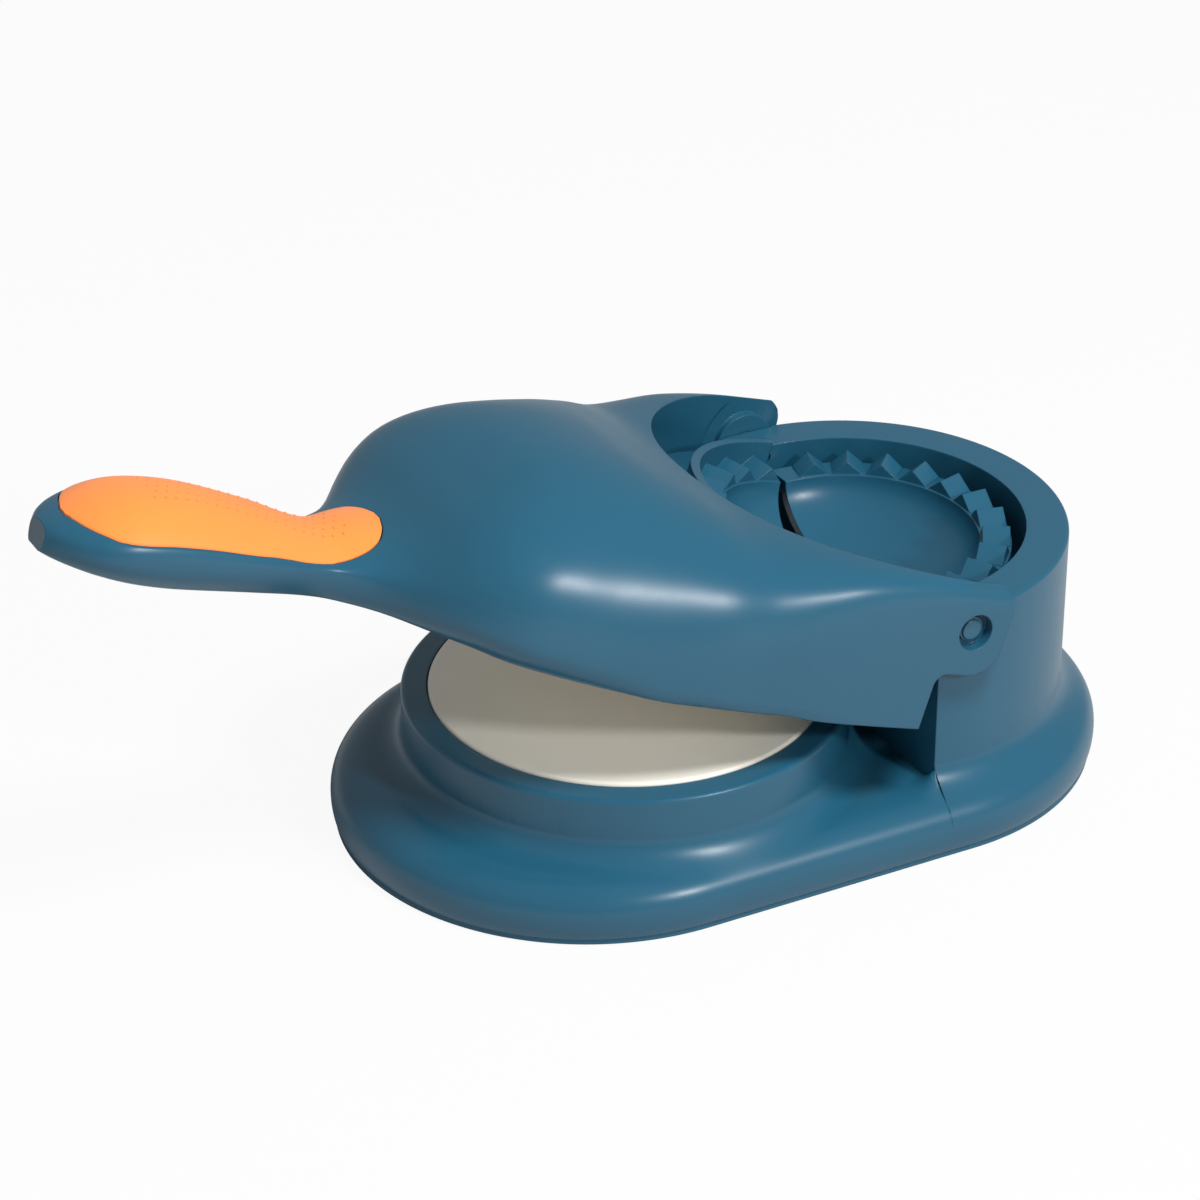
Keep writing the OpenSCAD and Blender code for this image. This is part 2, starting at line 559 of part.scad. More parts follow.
module upper_plate_screws() color(steel) on_handle()
  for (p = ram_bolts) translate([-p[0], p[1], carrier_w + carrier_t]) {
    cylinder(h = 1.8, r = 4.6);
    translate([0, 0, -1.4]) cylinder(h = 1.5, r = screw_r - 0.2);
  }

module front_mould() color(blue) on_handle() difference() {
  union() {
    rotate([0, 0, 180]) {
      half_bowl(collar_r - 1, -ledge_w + flange_t);
      teeth(collar_r - collar_t + 0.7, [for (k = [0:tooth_count - 1]) -90 + (k + 0.5) * tooth_pitch]);
    }
    front_ring(collar_r - collar_t, collar_r, ledge_w - flange_t, rim_w, 0.4);
    front_ring(collar_r - collar_t, flange_r, ledge_w - flange_t, ledge_w, u_flange);
  }
  translate([-0.4, -collar_r - 1, -20]) cube([2, 2 * collar_r + 2, 30]);
  for (p = mould_bolts) translate([p[0], p[1], ledge_w - flange_t - 1]) cylinder(h = 5, r = screw_r + 0.2);
}

module front_mould_screws() color(steel) on_handle()
  for (p = mould_bolts) translate([p[0], p[1], ledge_w - flange_t - 1.8])
    screw(1.8 + flange_t + ledge_t - 1.2);

base_shell();
base_cover();
base_screws();
foot_pads();
press_plate_lower();
lower_plate_screws();
rear_mould();
rear_mould_screws();
pivot_pin_near();
pivot_pin_far();
handle_shell();
handle_underside();
handle_screws();
grip_insert();
plate_carrier();
carrier_screws();
press_plate_upper();
upper_plate_screws();
front_mould();
front_mould_screws();
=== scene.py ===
# %% [markdown]
# # An empanada press in Blender
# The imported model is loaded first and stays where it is. Its hinge gives the place of every new piece.
# The smooth pieces that the eye rests on are built around it in millimetres. Their sizes repeat those of
# the plain solids, apart from the forms that are made fuller or finer here.

# %% Load the frame
import json
import math

import bmesh
import bpy
from mathutils import Matrix, Vector


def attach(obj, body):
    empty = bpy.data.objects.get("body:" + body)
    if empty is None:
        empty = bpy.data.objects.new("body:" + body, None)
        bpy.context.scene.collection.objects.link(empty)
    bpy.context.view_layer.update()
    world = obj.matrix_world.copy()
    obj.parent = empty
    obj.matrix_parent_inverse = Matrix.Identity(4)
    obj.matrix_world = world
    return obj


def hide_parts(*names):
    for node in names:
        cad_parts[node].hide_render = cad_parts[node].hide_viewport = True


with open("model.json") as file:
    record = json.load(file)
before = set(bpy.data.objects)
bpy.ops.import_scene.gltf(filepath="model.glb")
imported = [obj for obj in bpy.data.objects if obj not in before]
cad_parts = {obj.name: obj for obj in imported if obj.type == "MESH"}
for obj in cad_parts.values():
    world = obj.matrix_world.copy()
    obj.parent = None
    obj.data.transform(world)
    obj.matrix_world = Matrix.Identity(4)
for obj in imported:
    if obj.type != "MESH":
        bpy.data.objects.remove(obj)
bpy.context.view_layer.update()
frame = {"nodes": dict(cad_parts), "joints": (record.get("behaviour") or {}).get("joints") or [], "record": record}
hinge = frame["joints"][0]
HINGE = Vector(hinge["pos_m"]) * 1000
LIFT = math.radians(-hinge["range_deg"][0])
ON_BASE = Matrix.Scale(0.001, 4)
ON_HINGE = ON_BASE @ Matrix.Translation(HINGE)
ON_HANDLE = ON_HINGE @ Matrix.Rotation(LIFT, 4, "Y")
print("hinge at", tuple(round(v, 1) for v in HINGE), "mm, handle raised", round(math.degrees(LIFT), 1))

# %% [markdown]
# ## Camera
# The photograph was taken from above the handle's left side with a long lens. The camera stands about
# 0.93 m away, so the press shows little perspective. It is made first, since it depends on nothing.

# %% Camera
AIM = Vector((-0.0068, 0.0, 0.0530))
AZIMUTH, ELEVATION, DISTANCE = math.radians(-27.95), math.radians(29.41), 0.9348
LENS = 125.16

back = Vector((math.sin(AZIMUTH) * math.cos(ELEVATION),
               -math.cos(AZIMUTH) * math.cos(ELEVATION), math.sin(ELEVATION)))
camera_data = bpy.data.cameras.new("camera")
camera_data.lens, camera_data.sensor_width = LENS, 36
camera = bpy.data.objects.new("camera", camera_data)
camera.location = AIM + back * DISTANCE
print("camera at", tuple(round(v, 3) for v in camera.location), "m")
camera.rotation_mode = "QUATERNION"
camera.rotation_quaternion = (-back).to_track_quat("-Z", "Y")
bpy.context.scene.collection.objects.link(camera)
bpy.context.scene.camera = camera

# %% [markdown]
# ## Shader maths as Python
# A socket is wrapped so that + - * add Math nodes. Every other node comes from Finish.node or
# Finish.mix, which set the node's own settings first and then its sockets.

# %% Wrapped sockets
class Value:
    """A number that changes over the surface."""

    def __init__(self, tree, socket):
        self.tree, self.socket = tree, socket

    def maths(self, operation, *values):
        n = self.tree.nodes.new("ShaderNodeMath")
        n.operation = operation
        for slot, value in zip(n.inputs, values):
            join(self.tree, value, slot)
        return Value(self.tree, n.outputs[0])

    def __add__(self, other):
        return self.maths("ADD", self, other)

    def __sub__(self, other):
        return self.maths("SUBTRACT", self, other)

    def __rsub__(self, other):
        return self.maths("SUBTRACT", other, self)

    def __mul__(self, other):
        return self.maths("MULTIPLY", self, other)

    __radd__, __rmul__ = __add__, __mul__


def join(tree, value, slot):
    """Links a wrapped socket to a slot, or sets the slot to a plain value."""
    if isinstance(value, Value):
        tree.links.new(value.socket, slot)
    else:
        slot.default_value = value


class Finish:
    """A material with its shader, and the one method that adds nodes to it."""

    def __init__(self, name):
        self.material = bpy.data.materials.new(name)
        self.material.use_nodes = True
        self.tree = self.material.node_tree
        self.shader = self.tree.nodes["Principled BSDF"]
        self.place = self.node("ShaderNodeTexCoord", "Object")

    def node(self, kind, output, settings=(), **sockets):
        n = self.tree.nodes.new(kind)
        for key, value in dict(settings).items():
            setattr(n, key, value)
        for key, value in sockets.items():
            join(self.tree, value, n.inputs[key.replace("_", " ")])
        return Value(self.tree, n.outputs[output])

    def noise(self, scale, detail=2.0, roughness=0.5):
        return self.node("ShaderNodeTexNoise", "Fac", Vector=self.place, Scale=scale,
                         Detail=detail, Roughness=roughness)

    def mix(self, factor, a, b):
        """Mixes two colours by a factor."""
        n = self.tree.nodes.new("ShaderNodeMix")
        n.data_type = "RGBA"
        for slot, value in ((0, factor), (6, a), (7, b)):
            join(self.tree, value, n.inputs[slot])
        return Value(self.tree, n.outputs[2])

    def set(self, **sockets):
        for key, value in sockets.items():
            join(self.tree, value, self.shader.inputs[key.replace("_", " ")])
        return self


# %% [markdown]
# ## Moulded plastic
# The press is satin moulded plastic. A flat colour looks like a toy, so the finish has three layers:
# slow drifts of shade where the melt flowed, a fine etched grain in the surface, and a roughness
# that wanders a little, so that the soft highlights break up. Edges are rounded by the Bevel node.

# %% Plastic finish
def moulded(name, colour, shade, rough, grain, grain_depth, edge):
    """Satin plastic: two close shades, a base roughness, a grain per metre, its depth and its edge radius."""
    f = Finish(name)
    drift = f.noise(28.0, detail=3.0)
    fine = f.noise(grain, roughness=0.6)
    scuff = f.noise(420.0, detail=4.0, roughness=0.7)
    rounded = f.node("ShaderNodeBevel", "Normal", {"samples": 6}, Radius=edge)
    bump = f.node("ShaderNodeBump", "Normal", Strength=1.0, Distance=grain_depth,
                  Height=fine, Normal=rounded)
    f.set(Base_Color=f.mix(drift, colour, shade),
          Roughness=rough + (drift - 0.5) * 0.06 + (scuff - 0.5) * 0.05, Normal=bump)
    return f.material


def linear(r, g, b):
    """A screen colour, 0 to 255, as the light that Blender mixes."""
    return [((c / 255 + 0.055) / 1.055) ** 2.4 if c > 10 else c / 255 / 12.92 for c in (r, g, b)] + [1.0]


BLUE = moulded("blue moulded plastic", linear(32, 86, 110), linear(28, 81, 105),
               rough=0.32, grain=3200.0, grain_depth=8e-6, edge=5e-4)
CREAM = moulded("cream moulded plastic", linear(243, 239, 228), linear(239, 234, 221),
                rough=0.36, grain=2600.0, grain_depth=6e-6, edge=3e-4)
print("plastics:", BLUE.name, "and", CREAM.name)

# %% [markdown]
# ## Soft grip, feet and screws
# The grip is a soft overmoulded rubber: matt, a little lighter at grazing angles, which Sheen gives.
# The feet are dark rubber. The screws are zinc plated, with a fine grain.

# %% Rubber and metal
def soft_rubber(name, colour, shade, rough, sheen):
    """Matt rubber: two close shades, a base roughness and the strength of its sheen."""
    f = Finish(name)
    drift = f.noise(60.0, detail=3.0)
    pores = f.noise(5200.0, detail=1.0)
    rounded = f.node("ShaderNodeBevel", "Normal", {"samples": 6}, Radius=4e-4)
    bump = f.node("ShaderNodeBump", "Normal", Strength=1.0, Distance=1.2e-5, Height=pores, Normal=rounded)
    f.set(Base_Color=f.mix(drift, colour, shade), Roughness=rough + (drift - 0.5) * 0.08, Normal=bump)
    f.shader.inputs["Sheen Weight"].default_value = sheen
    return f.material


def zinc(name):
    """Plated steel with a fine grain."""
    f = Finish(name)
    grain = f.noise(1800.0, detail=4.0, roughness=0.7)
    bump = f.node("ShaderNodeBump", "Normal", Strength=1.0, Distance=1e-5, Height=grain)
    f.set(Base_Color=f.mix(grain, (0.5, 0.51, 0.53, 1), (0.66, 0.67, 0.68, 1)), Metallic=1.0,
          Roughness=0.28 + grain * 0.16, Normal=bump)
    return f.material


ORANGE = soft_rubber("orange soft grip", linear(250, 143, 66), linear(247, 136, 58), rough=0.5, sheen=0.15)
DARK = soft_rubber("dark foot rubber", linear(38, 39, 41), linear(30, 31, 33), rough=0.7, sheen=0.1)
ZINC = zinc("zinc plated screw")
FINISHES = {"blue_body": BLUE, "cream_plate": CREAM, "orange_grip": ORANGE,
            "foot_rubber": DARK, "screw_steel": ZINC}

for row in frame["record"]["subparts"]:
    node = frame["nodes"][row["node"]]
    for material_slot in node.material_slots:
        material_slot.material = FINISHES[row["material_slot"]]
print("finishes on", len(frame["nodes"]), "nodes")

# %% [markdown]
# ## Tools for solids
# The press is moulded, so its pieces are walls and rounds. They could be pulled out of boxes by hand.
# Here round pieces are turned from a profile and straight ones are pushed up from an outline, because
# then each size is a number that can be changed. Everything is closed, so later cuts are clean.

# %% Meshes from outlines
def piece(name, points, faces):
    """An object in the scene from points and faces."""
    mesh = bpy.data.meshes.new(name)
    mesh.from_pydata([tuple(p) for p in points], [], faces)
    mesh.update()
    made = bpy.data.objects.new(name, mesh)
    bpy.context.scene.collection.objects.link(made)
    return made


def closed(made, gap=1e-4):
    """Merges doubles, drops faces that vanish and turns the faces outwards."""
    b = bmesh.new()
    b.from_mesh(made.data)
    bmesh.ops.remove_doubles(b, verts=b.verts, dist=gap)
    bmesh.ops.dissolve_degenerate(b, edges=b.edges, dist=gap)
    bmesh.ops.recalc_face_normals(b, faces=b.faces)
    b.to_mesh(made.data)
    b.free()
    return made


def rings(name, loops, wrap=False, on_axis=False):
    """A solid through closed loops of equal length. wrap joins the last loop to the first, and a loop
    that is on_axis starts and ends on the axis, where it needs no wall."""
    m, n = len(loops[0]), len(loops)
    points = [p for loop in loops for p in loop]
    faces = [(i * m + j, i * m + (j + 1) % m, (i + 1) % n * m + (j + 1) % m, (i + 1) % n * m + j)
             for i in range(n if wrap else n - 1) for j in range(m - 1 if on_axis else m)]
    if not wrap:
        faces += [tuple(range(m)), tuple((n - 1) * m + j for j in reversed(range(m)))]
    return closed(piece(name, points, faces))


def turned(name, profile, steps=192, start=0.0, end=360.0):
    """A profile of (radius, height) turned about Z, all round or between two angles."""
    whole = end - start >= 360
    count = steps if whole else steps + 1
    angles = [math.radians(start + (end - start) * k / steps) for k in range(count)]
    loops = [[(r * math.cos(a), r * math.sin(a), z) for r, z in profile] for a in angles]
    return rings(name, loops, whole, True)


def pushed(name, outline, low, high):
    """An outline of (x, y) pushed up from one height to another."""
    return rings(name, [[(x, y, z) for x, y in outline] for z in (low, high)])


def block(name, low, high):
    """A box between two opposite corners."""
    (a, b, c), (d, e, f) = low, high
    return pushed(name, [(a, b), (d, b), (d, e), (a, e)], c, f)


def peg(name, radius, y0, y1, steps=96):
    """A cylinder along Y."""
    made = turned(name, [(0, y0), (radius, y0), (radius, y1), (0, y1)], steps)
    made.data.transform(Matrix.Rotation(math.radians(-90), 4, "X"))
    return made


def arc(cx, cy, rx, ry, a0, a1, n):
    """Points on an ellipse about (cx, cy), from one angle to another in degrees, in n steps."""
    return [(cx + rx * math.cos(a), cy + ry * math.sin(a))
            for a in (math.radians(a0 + (a1 - a0) * i / n) for i in range(n + 1))]


# %% [markdown]
# ## Cutting and joining
# Pockets and bores could be modelled face by face. The Boolean modifier makes them from whole solids
# instead, and its result is kept as a plain mesh, so that no modifier is left for the export. The
# Manifold solver is fast and exact on closed meshes, and every solid here is closed.

# %% Boolean steps
def boolean(made, other, operation):
    """Cuts, joins or intersects a piece with another solid, which is used up."""
    step = made.modifiers.new("step", "BOOLEAN")
    step.operation, step.solver, step.object = operation, "MANIFOLD", other
    result = bpy.data.meshes.new_from_object(made.evaluated_get(bpy.context.evaluated_depsgraph_get()))
    made.modifiers.clear()
    old, made.data = made.data, result
    bpy.data.meshes.remove(old)
    bpy.data.objects.remove(other)
    return made


def cut(made, *others):
    for other in others:
        boolean(made, other, "DIFFERENCE")
    return made


def fuse(made, *others):
    for other in others:
        boolean(made, other, "UNION")
    return made


def common(made, other):
    return boolean(made, other, "INTERSECT")


# %% [markdown]
# ## Handing a piece over
# A piece is made in millimetres about its own centre, and then moved to its place in metres.

# %% Finish a piece
def finished(made, place, material, body, slot, *nodes, sharp=34.0):
    made.data.transform(place)
    closed(made, 1e-7)
    made.data.polygons.foreach_set("use_smooth", [True] * len(made.data.polygons))
    made.data.set_sharp_from_angle(angle=math.radians(sharp))
    made.data.name = made.name
    made.data.materials.clear()
    made.data.materials.append(material)
    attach(made, body)
    if nodes:
        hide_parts(*nodes)
    print(made.name, len(made.data.vertices), "vertices")
    return made


# %% [markdown]
# ## The base
# One moulding: a low slot-shaped foot with a rolled shoulder, the round pad and the round tower.
# The foot is a profile carried round a stadium, the pad and tower are turned, and the well, the plate's
# seat and the hinge pockets are cut out.

# %% Sizes of the base
BASE_R, NOSE_X, BULGE, BASE_H, FOOT = 58.0, 10.2, 0.7, 14.7, 0.3
BULGE_Z, SHOULDER, FILLET, ROLL = 6.0, 11.5, 6.0, 2.3
UNDER_R, BASE_WALL = 2, 3.9
PAD_R, PAD_H, PAD_EDGE = 51.4, 30.1, 1.2
TOWER_X, TOWER_R, TOWER_H, TOWER_EDGE = HINGE.x, 50.2, 57.4, 0.8
WELL_R, WELL_DEPTH = 40.4, 25.0
CHEEK_X, CHEEK_Y = 6.5, 44.2
PLATE_R, SEAT = 45.2, 2.0
SLIP = 0.3
PIN_R, HUB_R, HUB_SINK = 3.0, 7.5, 1.2
HUB_Y = TOWER_R - HUB_SINK
FLOOR_Z = TOWER_H - WELL_DEPTH
RIM_DROP = TOWER_H - HINGE.z


def wall_gap(x, y):
    """How far a point lies outside the walls of the pad and the tower, and less than 0 within them."""
    face = TOWER_X - CHEEK_X
    from_tower = math.hypot(x - TOWER_X, y) - TOWER_R
    if x < face:
        from_tower = math.hypot(face - x, abs(y) - math.sqrt(TOWER_R ** 2 - CHEEK_X ** 2))
    return min(math.hypot(x, y) - PAD_R, from_tower)


def shoulder_z(x, y, r):
    """Height of the foot's top: a rolled shoulder, and a hollow fillet against the walls."""
    over = max(0.0, r - (BASE_R + BULGE - SHOULDER)) / SHOULDER
    z = BULGE_Z + (BASE_H - BULGE_Z) * max(0.0, 1 - over ** ROLL) ** (1 / ROLL)
    gap = min(FILLET, max(0.0, wall_gap(x, y) + 0.02))
    return z + FILLET - math.sqrt(FILLET ** 2 - (FILLET - gap) ** 2) if gap < FILLET else z


def wall_at(cx, a):
    """How far from (cx, 0) the outermost wall stands in the direction a."""
    low, high = 0.0, BASE_R + BULGE
    for _ in range(40):
        mid = (low + high) / 2
        if wall_gap(cx + mid * math.cos(a), mid * math.sin(a)) > 0:
            high = mid
        else:
            low = mid
    return high


def foot_loop(cx, degrees):
    """One cut through the foot, from the middle of its underside round to the middle of its top."""
    a = math.radians(degrees)
    rim, wall = BASE_R + BULGE, wall_at(cx, a)
    loop = [(0, FOOT), (BASE_R - 0.2, FOOT)]
    loop += arc(rim - UNDER_R, BULGE_Z, UNDER_R, BULGE_Z - FOOT - 0.3, -66, 0, 8)
    steps = 56
    for k in range(1, steps + 1):
        t = 0.5 - 0.5 * math.cos(math.pi * k / steps)
        loop.append((rim + (wall - rim) * t, None))
    loop += [(wall - 0.6, None), (wall * 0.6, None), (0, None)]
    out = []
    for r, z in loop:
        x, y = cx + r * math.cos(a), r * math.sin(a)
        out.append((x, y, shoulder_z(x, y, r) if z is None else z))
    return out


def around_foot(steps, sides):
    """Places round the stadium: the centre of each cut and its direction in degrees."""
    face = TOWER_X - CHEEK_X
    along = []
    if sides:
        along = ([TOWER_X + (face + 0.01 - TOWER_X) * k / 12 for k in range(1, 13)]
                 + [face - 0.01 - (face - 0.01 + NOSE_X) * k / sides for k in range(sides)])
    tower_end = [(TOWER_X, -90 + 180 * k / steps) for k in range(steps + 1)]
    nose_end = [(-NOSE_X, 90 + 180 * k / steps) for k in range(steps + 1)]
    return tower_end + [(x, 90) for x in along] + nose_end + [(x, -90) for x in reversed(along)]


def column_profile(r, h, edge):
    """The profile of the pad or the tower, with a rounded top edge."""
    return [(0, BASE_H / 2), (r, BASE_H / 2)] + arc(r - edge, h - edge, edge, edge, 0, 90, 8) + [(0, h)]


def stadium(name, profile, steps=96):
    """A profile carried round a stadium between the two ends of the base."""
    return rings(name, [[(cx + r * math.cos(a), r * math.sin(a), z) for r, z in profile]
                        for cx, a in ((cx, math.radians(a)) for cx, a in around_foot(steps, 0))], True, True)


def moved(made, x=0.0, y=0.0, z=0.0):
    """The same piece, shifted."""
    made.data.transform(Matrix.Translation((x, y, z)))
    return made


# %% [markdown]
# ## Building the base
# The real base comes out of one mould. The foot, pad and tower could stay three pieces that overlap,
# but a seam would show between them, so they are joined. The plate's seat, the well for the mould and
# the hinge pockets are cut out last, with tools that reach past the piece.

# %% Build the base
OVER_PAD, OVER_TOWER, PAST = 40, 70, 110
base = rings("base_body", [foot_loop(*place) for place in around_foot(96, 120)], True, True)
tower = moved(turned("tower", column_profile(TOWER_R, TOWER_H, TOWER_EDGE)), TOWER_X)
common(tower, block("front", (TOWER_X - CHEEK_X, -PAST, 0), (TOWER_X + PAST, PAST, 90)))
fuse(base, turned("pad", column_profile(PAD_R, PAD_H, PAD_EDGE)), tower)
cut(base,
    stadium("cover recess", [(0, -1), (BASE_R - BASE_WALL, -1), (BASE_R - BASE_WALL, BULGE_Z + 2),
                             (0, BULGE_Z + 2)], 48),
    turned("seat", [(0, PAD_H - SEAT), (PLATE_R + SLIP, PAD_H - SEAT),
                    (PLATE_R + SLIP, OVER_PAD), (0, OVER_PAD)]),
    moved(turned("well", [(0, FLOOR_Z), (WELL_R, FLOOR_Z), (WELL_R, OVER_TOWER), (0, OVER_TOWER)]), TOWER_X),
    block("mouth", (TOWER_X - CHEEK_X - 1, -CHEEK_Y, FLOOR_Z), (TOWER_X, CHEEK_Y, OVER_TOWER)))
for side in (-1, 1):
    for radius, inner in ((HUB_R + SLIP, HUB_Y - SLIP), (PIN_R - 0.8, 40)):
        ends = sorted((side * inner, side * (TOWER_R + 2)))
        cut(base, moved(peg("pocket", radius, *ends), *HINGE))
finished(base, ON_BASE, BLUE, "base", "blue_body", "base_shell")

# %% [markdown]
# ## The folding moulds
# Each half is half a bowl, turned through 180 degrees, with wedge-shaped teeth round its mouth that
# crimp the wrapper. The front half stands in a collar. Its teeth lie half a pitch off, so they mesh.

# %% Sizes of the moulds
BOWL_R, BOWL_DEPTH, MOULD_T, MOULD_R = 30.0, 16.2, 2.0, 37.3
TEETH, TOOTH_H = 12, 3.2
COLLAR_R, COLLAR_T, COLLAR_UP = WELL_R - 0.6, 2.2, 2.2
LEDGE_TOP = -RIM_DROP - SLIP
LEDGE_W = LEDGE_TOP - 4
FLANGE_T, FLANGE_U, FLANGE_R = 2.0, CHEEK_X + 2.6, COLLAR_R + 5.5
PITCH = 180 / TEETH
TOOTH_W = 2 * BOWL_R * math.sin(math.radians(PITCH / 2)) - 0.5


def half_bowl(name, r_out, low):
    """Half a bowl whose rim reaches out to r_out and down to the height -low."""
    mouth = -TOOTH_H / 2
    back_of = arc(0, mouth - 2, BOWL_R + MOULD_T, BOWL_DEPTH + mouth - 2 + MOULD_T, 0, -90, 36)
    profile = (arc(0, mouth, BOWL_R, BOWL_DEPTH + mouth, -90, 0, 36)
               + [(r_out, mouth - SLIP), (r_out, -low)] + [p for p in back_of if p[1] <= -low]
               + [(0, -BOWL_DEPTH - MOULD_T)])
    return turned(name, profile, 96, -90, 90)


def tooth(angle, r_out):
    """A wedge along a radius, with its crest up."""
    h = TOOTH_H / 2
    side_on = [(-TOOTH_W / 2, -h), (-TOOTH_W / 2, -2 * h), (TOOTH_W / 2, -2 * h), (TOOTH_W / 2, -h),
               (0.35, h - 0.22), (0, h), (-0.35, h - 0.22)]
    made = rings("tooth", [[(r, y, z) for y, z in side_on] for r in (BOWL_R + 0.4, r_out)])
    made.data.transform(Matrix.Rotation(math.radians(angle), 4, "Z"))
    return made


def front_ring(name, r0, r1, w0, w1, u0):
    """Half a ring in front of the line u0. Distances u count from the hinge towards the handle's tip."""
    outline = []
    for r, turn_way in ((r1, 1), (r0, -1)):
        half = math.degrees(math.acos(u0 / r))
        outline += [(-x, y) for x, y in arc(0, 0, r, r, -half * turn_way, half * turn_way, 128)]
    return pushed(name, outline, w0, w1)


# %% [markdown]
# ## Building the moulds
# The teeth are wedges copied round the bowl by a loop. A face is cut back from both halves at the line
# where they meet, so that they don't touch when the handle lies folded over.

# %% Build the moulds
rear = half_bowl("rear_half_mould", MOULD_R, 5)
fuse(rear, *[tooth(-90 + k * PITCH, MOULD_R - 0.5) for k in range(1, TEETH)])
cut(rear, block("face", (-3, -60, -30), (0.4, 60, 30)))
finished(rear, ON_HINGE, BLUE, "base", "blue_body", "rear_mould")

front = half_bowl("front_half_mould", COLLAR_R - 1, -LEDGE_W + FLANGE_T)
fuse(front, *[tooth(-90 + (k + 0.5) * PITCH, COLLAR_R - COLLAR_T + 0.7) for k in range(TEETH)])
front.data.transform(Matrix.Rotation(math.pi, 4, "Z"))
fuse(front,
     front_ring("collar", COLLAR_R - COLLAR_T, COLLAR_R, LEDGE_W - FLANGE_T, RIM_DROP + COLLAR_UP, 0.4),
     front_ring("flange", COLLAR_R - COLLAR_T, FLANGE_R, LEDGE_W - FLANGE_T, LEDGE_W, FLANGE_U))
cut(front, block("face", (-0.4, -60, -30), (3, 60, 30)))
finished(front, ON_HANDLE, BLUE, "handle", "blue_body", "front_mould")

# %% [markdown]
# ## The handle
# Two arms run into a dome, the dome narrows to a neck and the neck swells into the bar under the palm.
# A table gives the section at a few distances from the hinge, smooth curves run through its numbers,
# and a thin shell is lofted through the sections. The scoop round the tower is then cut from it.

# %% Sections of the handle
ARM_Y, SCOOP_R, SKIN = 53.0, 51.0, 2.2
ARM_END_R, ARM_END_X, CROWN_H, SKIRT = 10.5, 8.6, 17.3, 24.2
ARM_TOP, ARM_BACK, PALM_W, NECK_W = ARM_END_R + 1.2, -14, 15.9, 12.6
SKIRT_RISE, SKIRT_U, TIP_RISE, TIP_RUN = 0.8, 44, 3.4, 30
BAR_TOP, BAR_LOW, BELLY = -9.0, -22.0, -14.5
PAD_U, TIP_U = TOWER_X, 201.5
NECK_U = TIP_U - 75
NOSE = NECK_U - PAD_U
HALF, BELLY_W, TOP, EDGE, SQUARE = 1, 2, 3, 4, 5
# distance, half width, height of the belly, top, half width at the lower edge, squareness
ROWS = [
    (ARM_BACK, ARM_Y + 1, -20, ARM_TOP, ARM_Y + 1, 18),
    (0, ARM_Y + 1, -20, ARM_TOP, ARM_Y + 1, 18),
    (12, ARM_Y + 1, -20, ARM_END_R + 1.3, ARM_Y + 1, 17),
    (26, ARM_Y + 0.8, -20, 11.6, ARM_Y + 0.6, 12),
    (PAD_U - 20, ARM_Y + 0.2, -20, 11.3, ARM_Y - 0.4, 7),
    (PAD_U - 8, ARM_Y - 0.5, -19.5, 11.5, ARM_Y - 1.1, 4.6),
    (PAD_U + 4, ARM_Y - 1.1, -18.8, CROWN_H - 3.1, ARM_Y - 2.5, 3.4),
    (PAD_U + 16, ARM_Y - 3.5, -18.2, CROWN_H - 0.7, ARM_Y - 4.8, 2.7),
    (PAD_U + 28, ARM_Y - 6.3, -17.4, CROWN_H - 0.1, ARM_Y - 10.6, 2.4),
    (PAD_U + 38, ARM_Y - 8.8, -16.4, CROWN_H - 2.1, ARM_Y - 16.6, 2.5),
    (PAD_U + 0.675 * NOSE, ARM_Y - 11.4, -15.6, CROWN_H - 6.2, ARM_Y - 23.4, 2.8),
    (PAD_U + 0.762 * NOSE, ARM_Y - 14.8, -14.5, 6.9, 22.5, 3),
    (PAD_U + 0.836 * NOSE, ARM_Y - 19.2, -14, 2.6, 19.8, 2.9),
    (PAD_U + 0.902 * NOSE, NECK_W + 15.6, -14, -2.3, 17.5, 2.68),
    (PAD_U + 0.971 * NOSE, NECK_W + 9, -14.4, -6.3, 14.6, 2.4),
    (NECK_U + 3.5, NECK_W + 3.3, BELLY, -8.8, 11.6, 2.15),
    (NECK_U + 12, NECK_W, BELLY, BAR_TOP - 3, 8.2, 2.35),
    (TIP_U - 47, PALM_W - 1.5, BELLY, BAR_TOP - 0.2, 7.4, 2.7),
    (TIP_U - 31, PALM_W - 0.2, BELLY, BAR_TOP + 2.2, 8, 2.75),
    (TIP_U - 19, PALM_W, BELLY, BAR_TOP + 2.2, 7.8, 2.8),
    (TIP_U - 11.5, PALM_W - 1.2, BELLY, BAR_TOP + 0.9, 6.8, 2.65),
    (TIP_U - 6, PALM_W - 4.4, BELLY, BAR_TOP - 0.9, 5.6, 2.5),
    (TIP_U - 2, PALM_W - 8.6, BELLY, BAR_TOP - 2.6, 4.2, 2.4),
    (TIP_U, 4, BELLY - 0.5, BAR_TOP - 3.8, 2.4, 2.2)]


def slope(rows, i, c):
    """Slope of column c at row i, from the rows beside it."""
    a, b = max(i - 1, 0), min(i + 1, len(rows) - 1)
    return (rows[b][c] - rows[a][c]) / (rows[b][0] - rows[a][0])


def at(rows, c, u):
    """Column c of a table at distance u, on a smooth curve through its rows."""
    i = 0
    while i < len(rows) - 2 and u >= rows[i + 1][0]:
        i += 1
    h = rows[i + 1][0] - rows[i][0]
    t = (u - rows[i][0]) / h
    return ((2 * t**3 - 3 * t**2 + 1) * rows[i][c] + (t**3 - 2 * t**2 + t) * slope(rows, i, c) * h
            + (3 * t**2 - 2 * t**3) * rows[i + 1][c] + (t**3 - t**2) * slope(rows, i + 1, c) * h)


def ease(k):
    """A smooth step from 0 to 1."""
    k = min(1.0, max(0.0, k))
    return k * k * (3 - 2 * k)


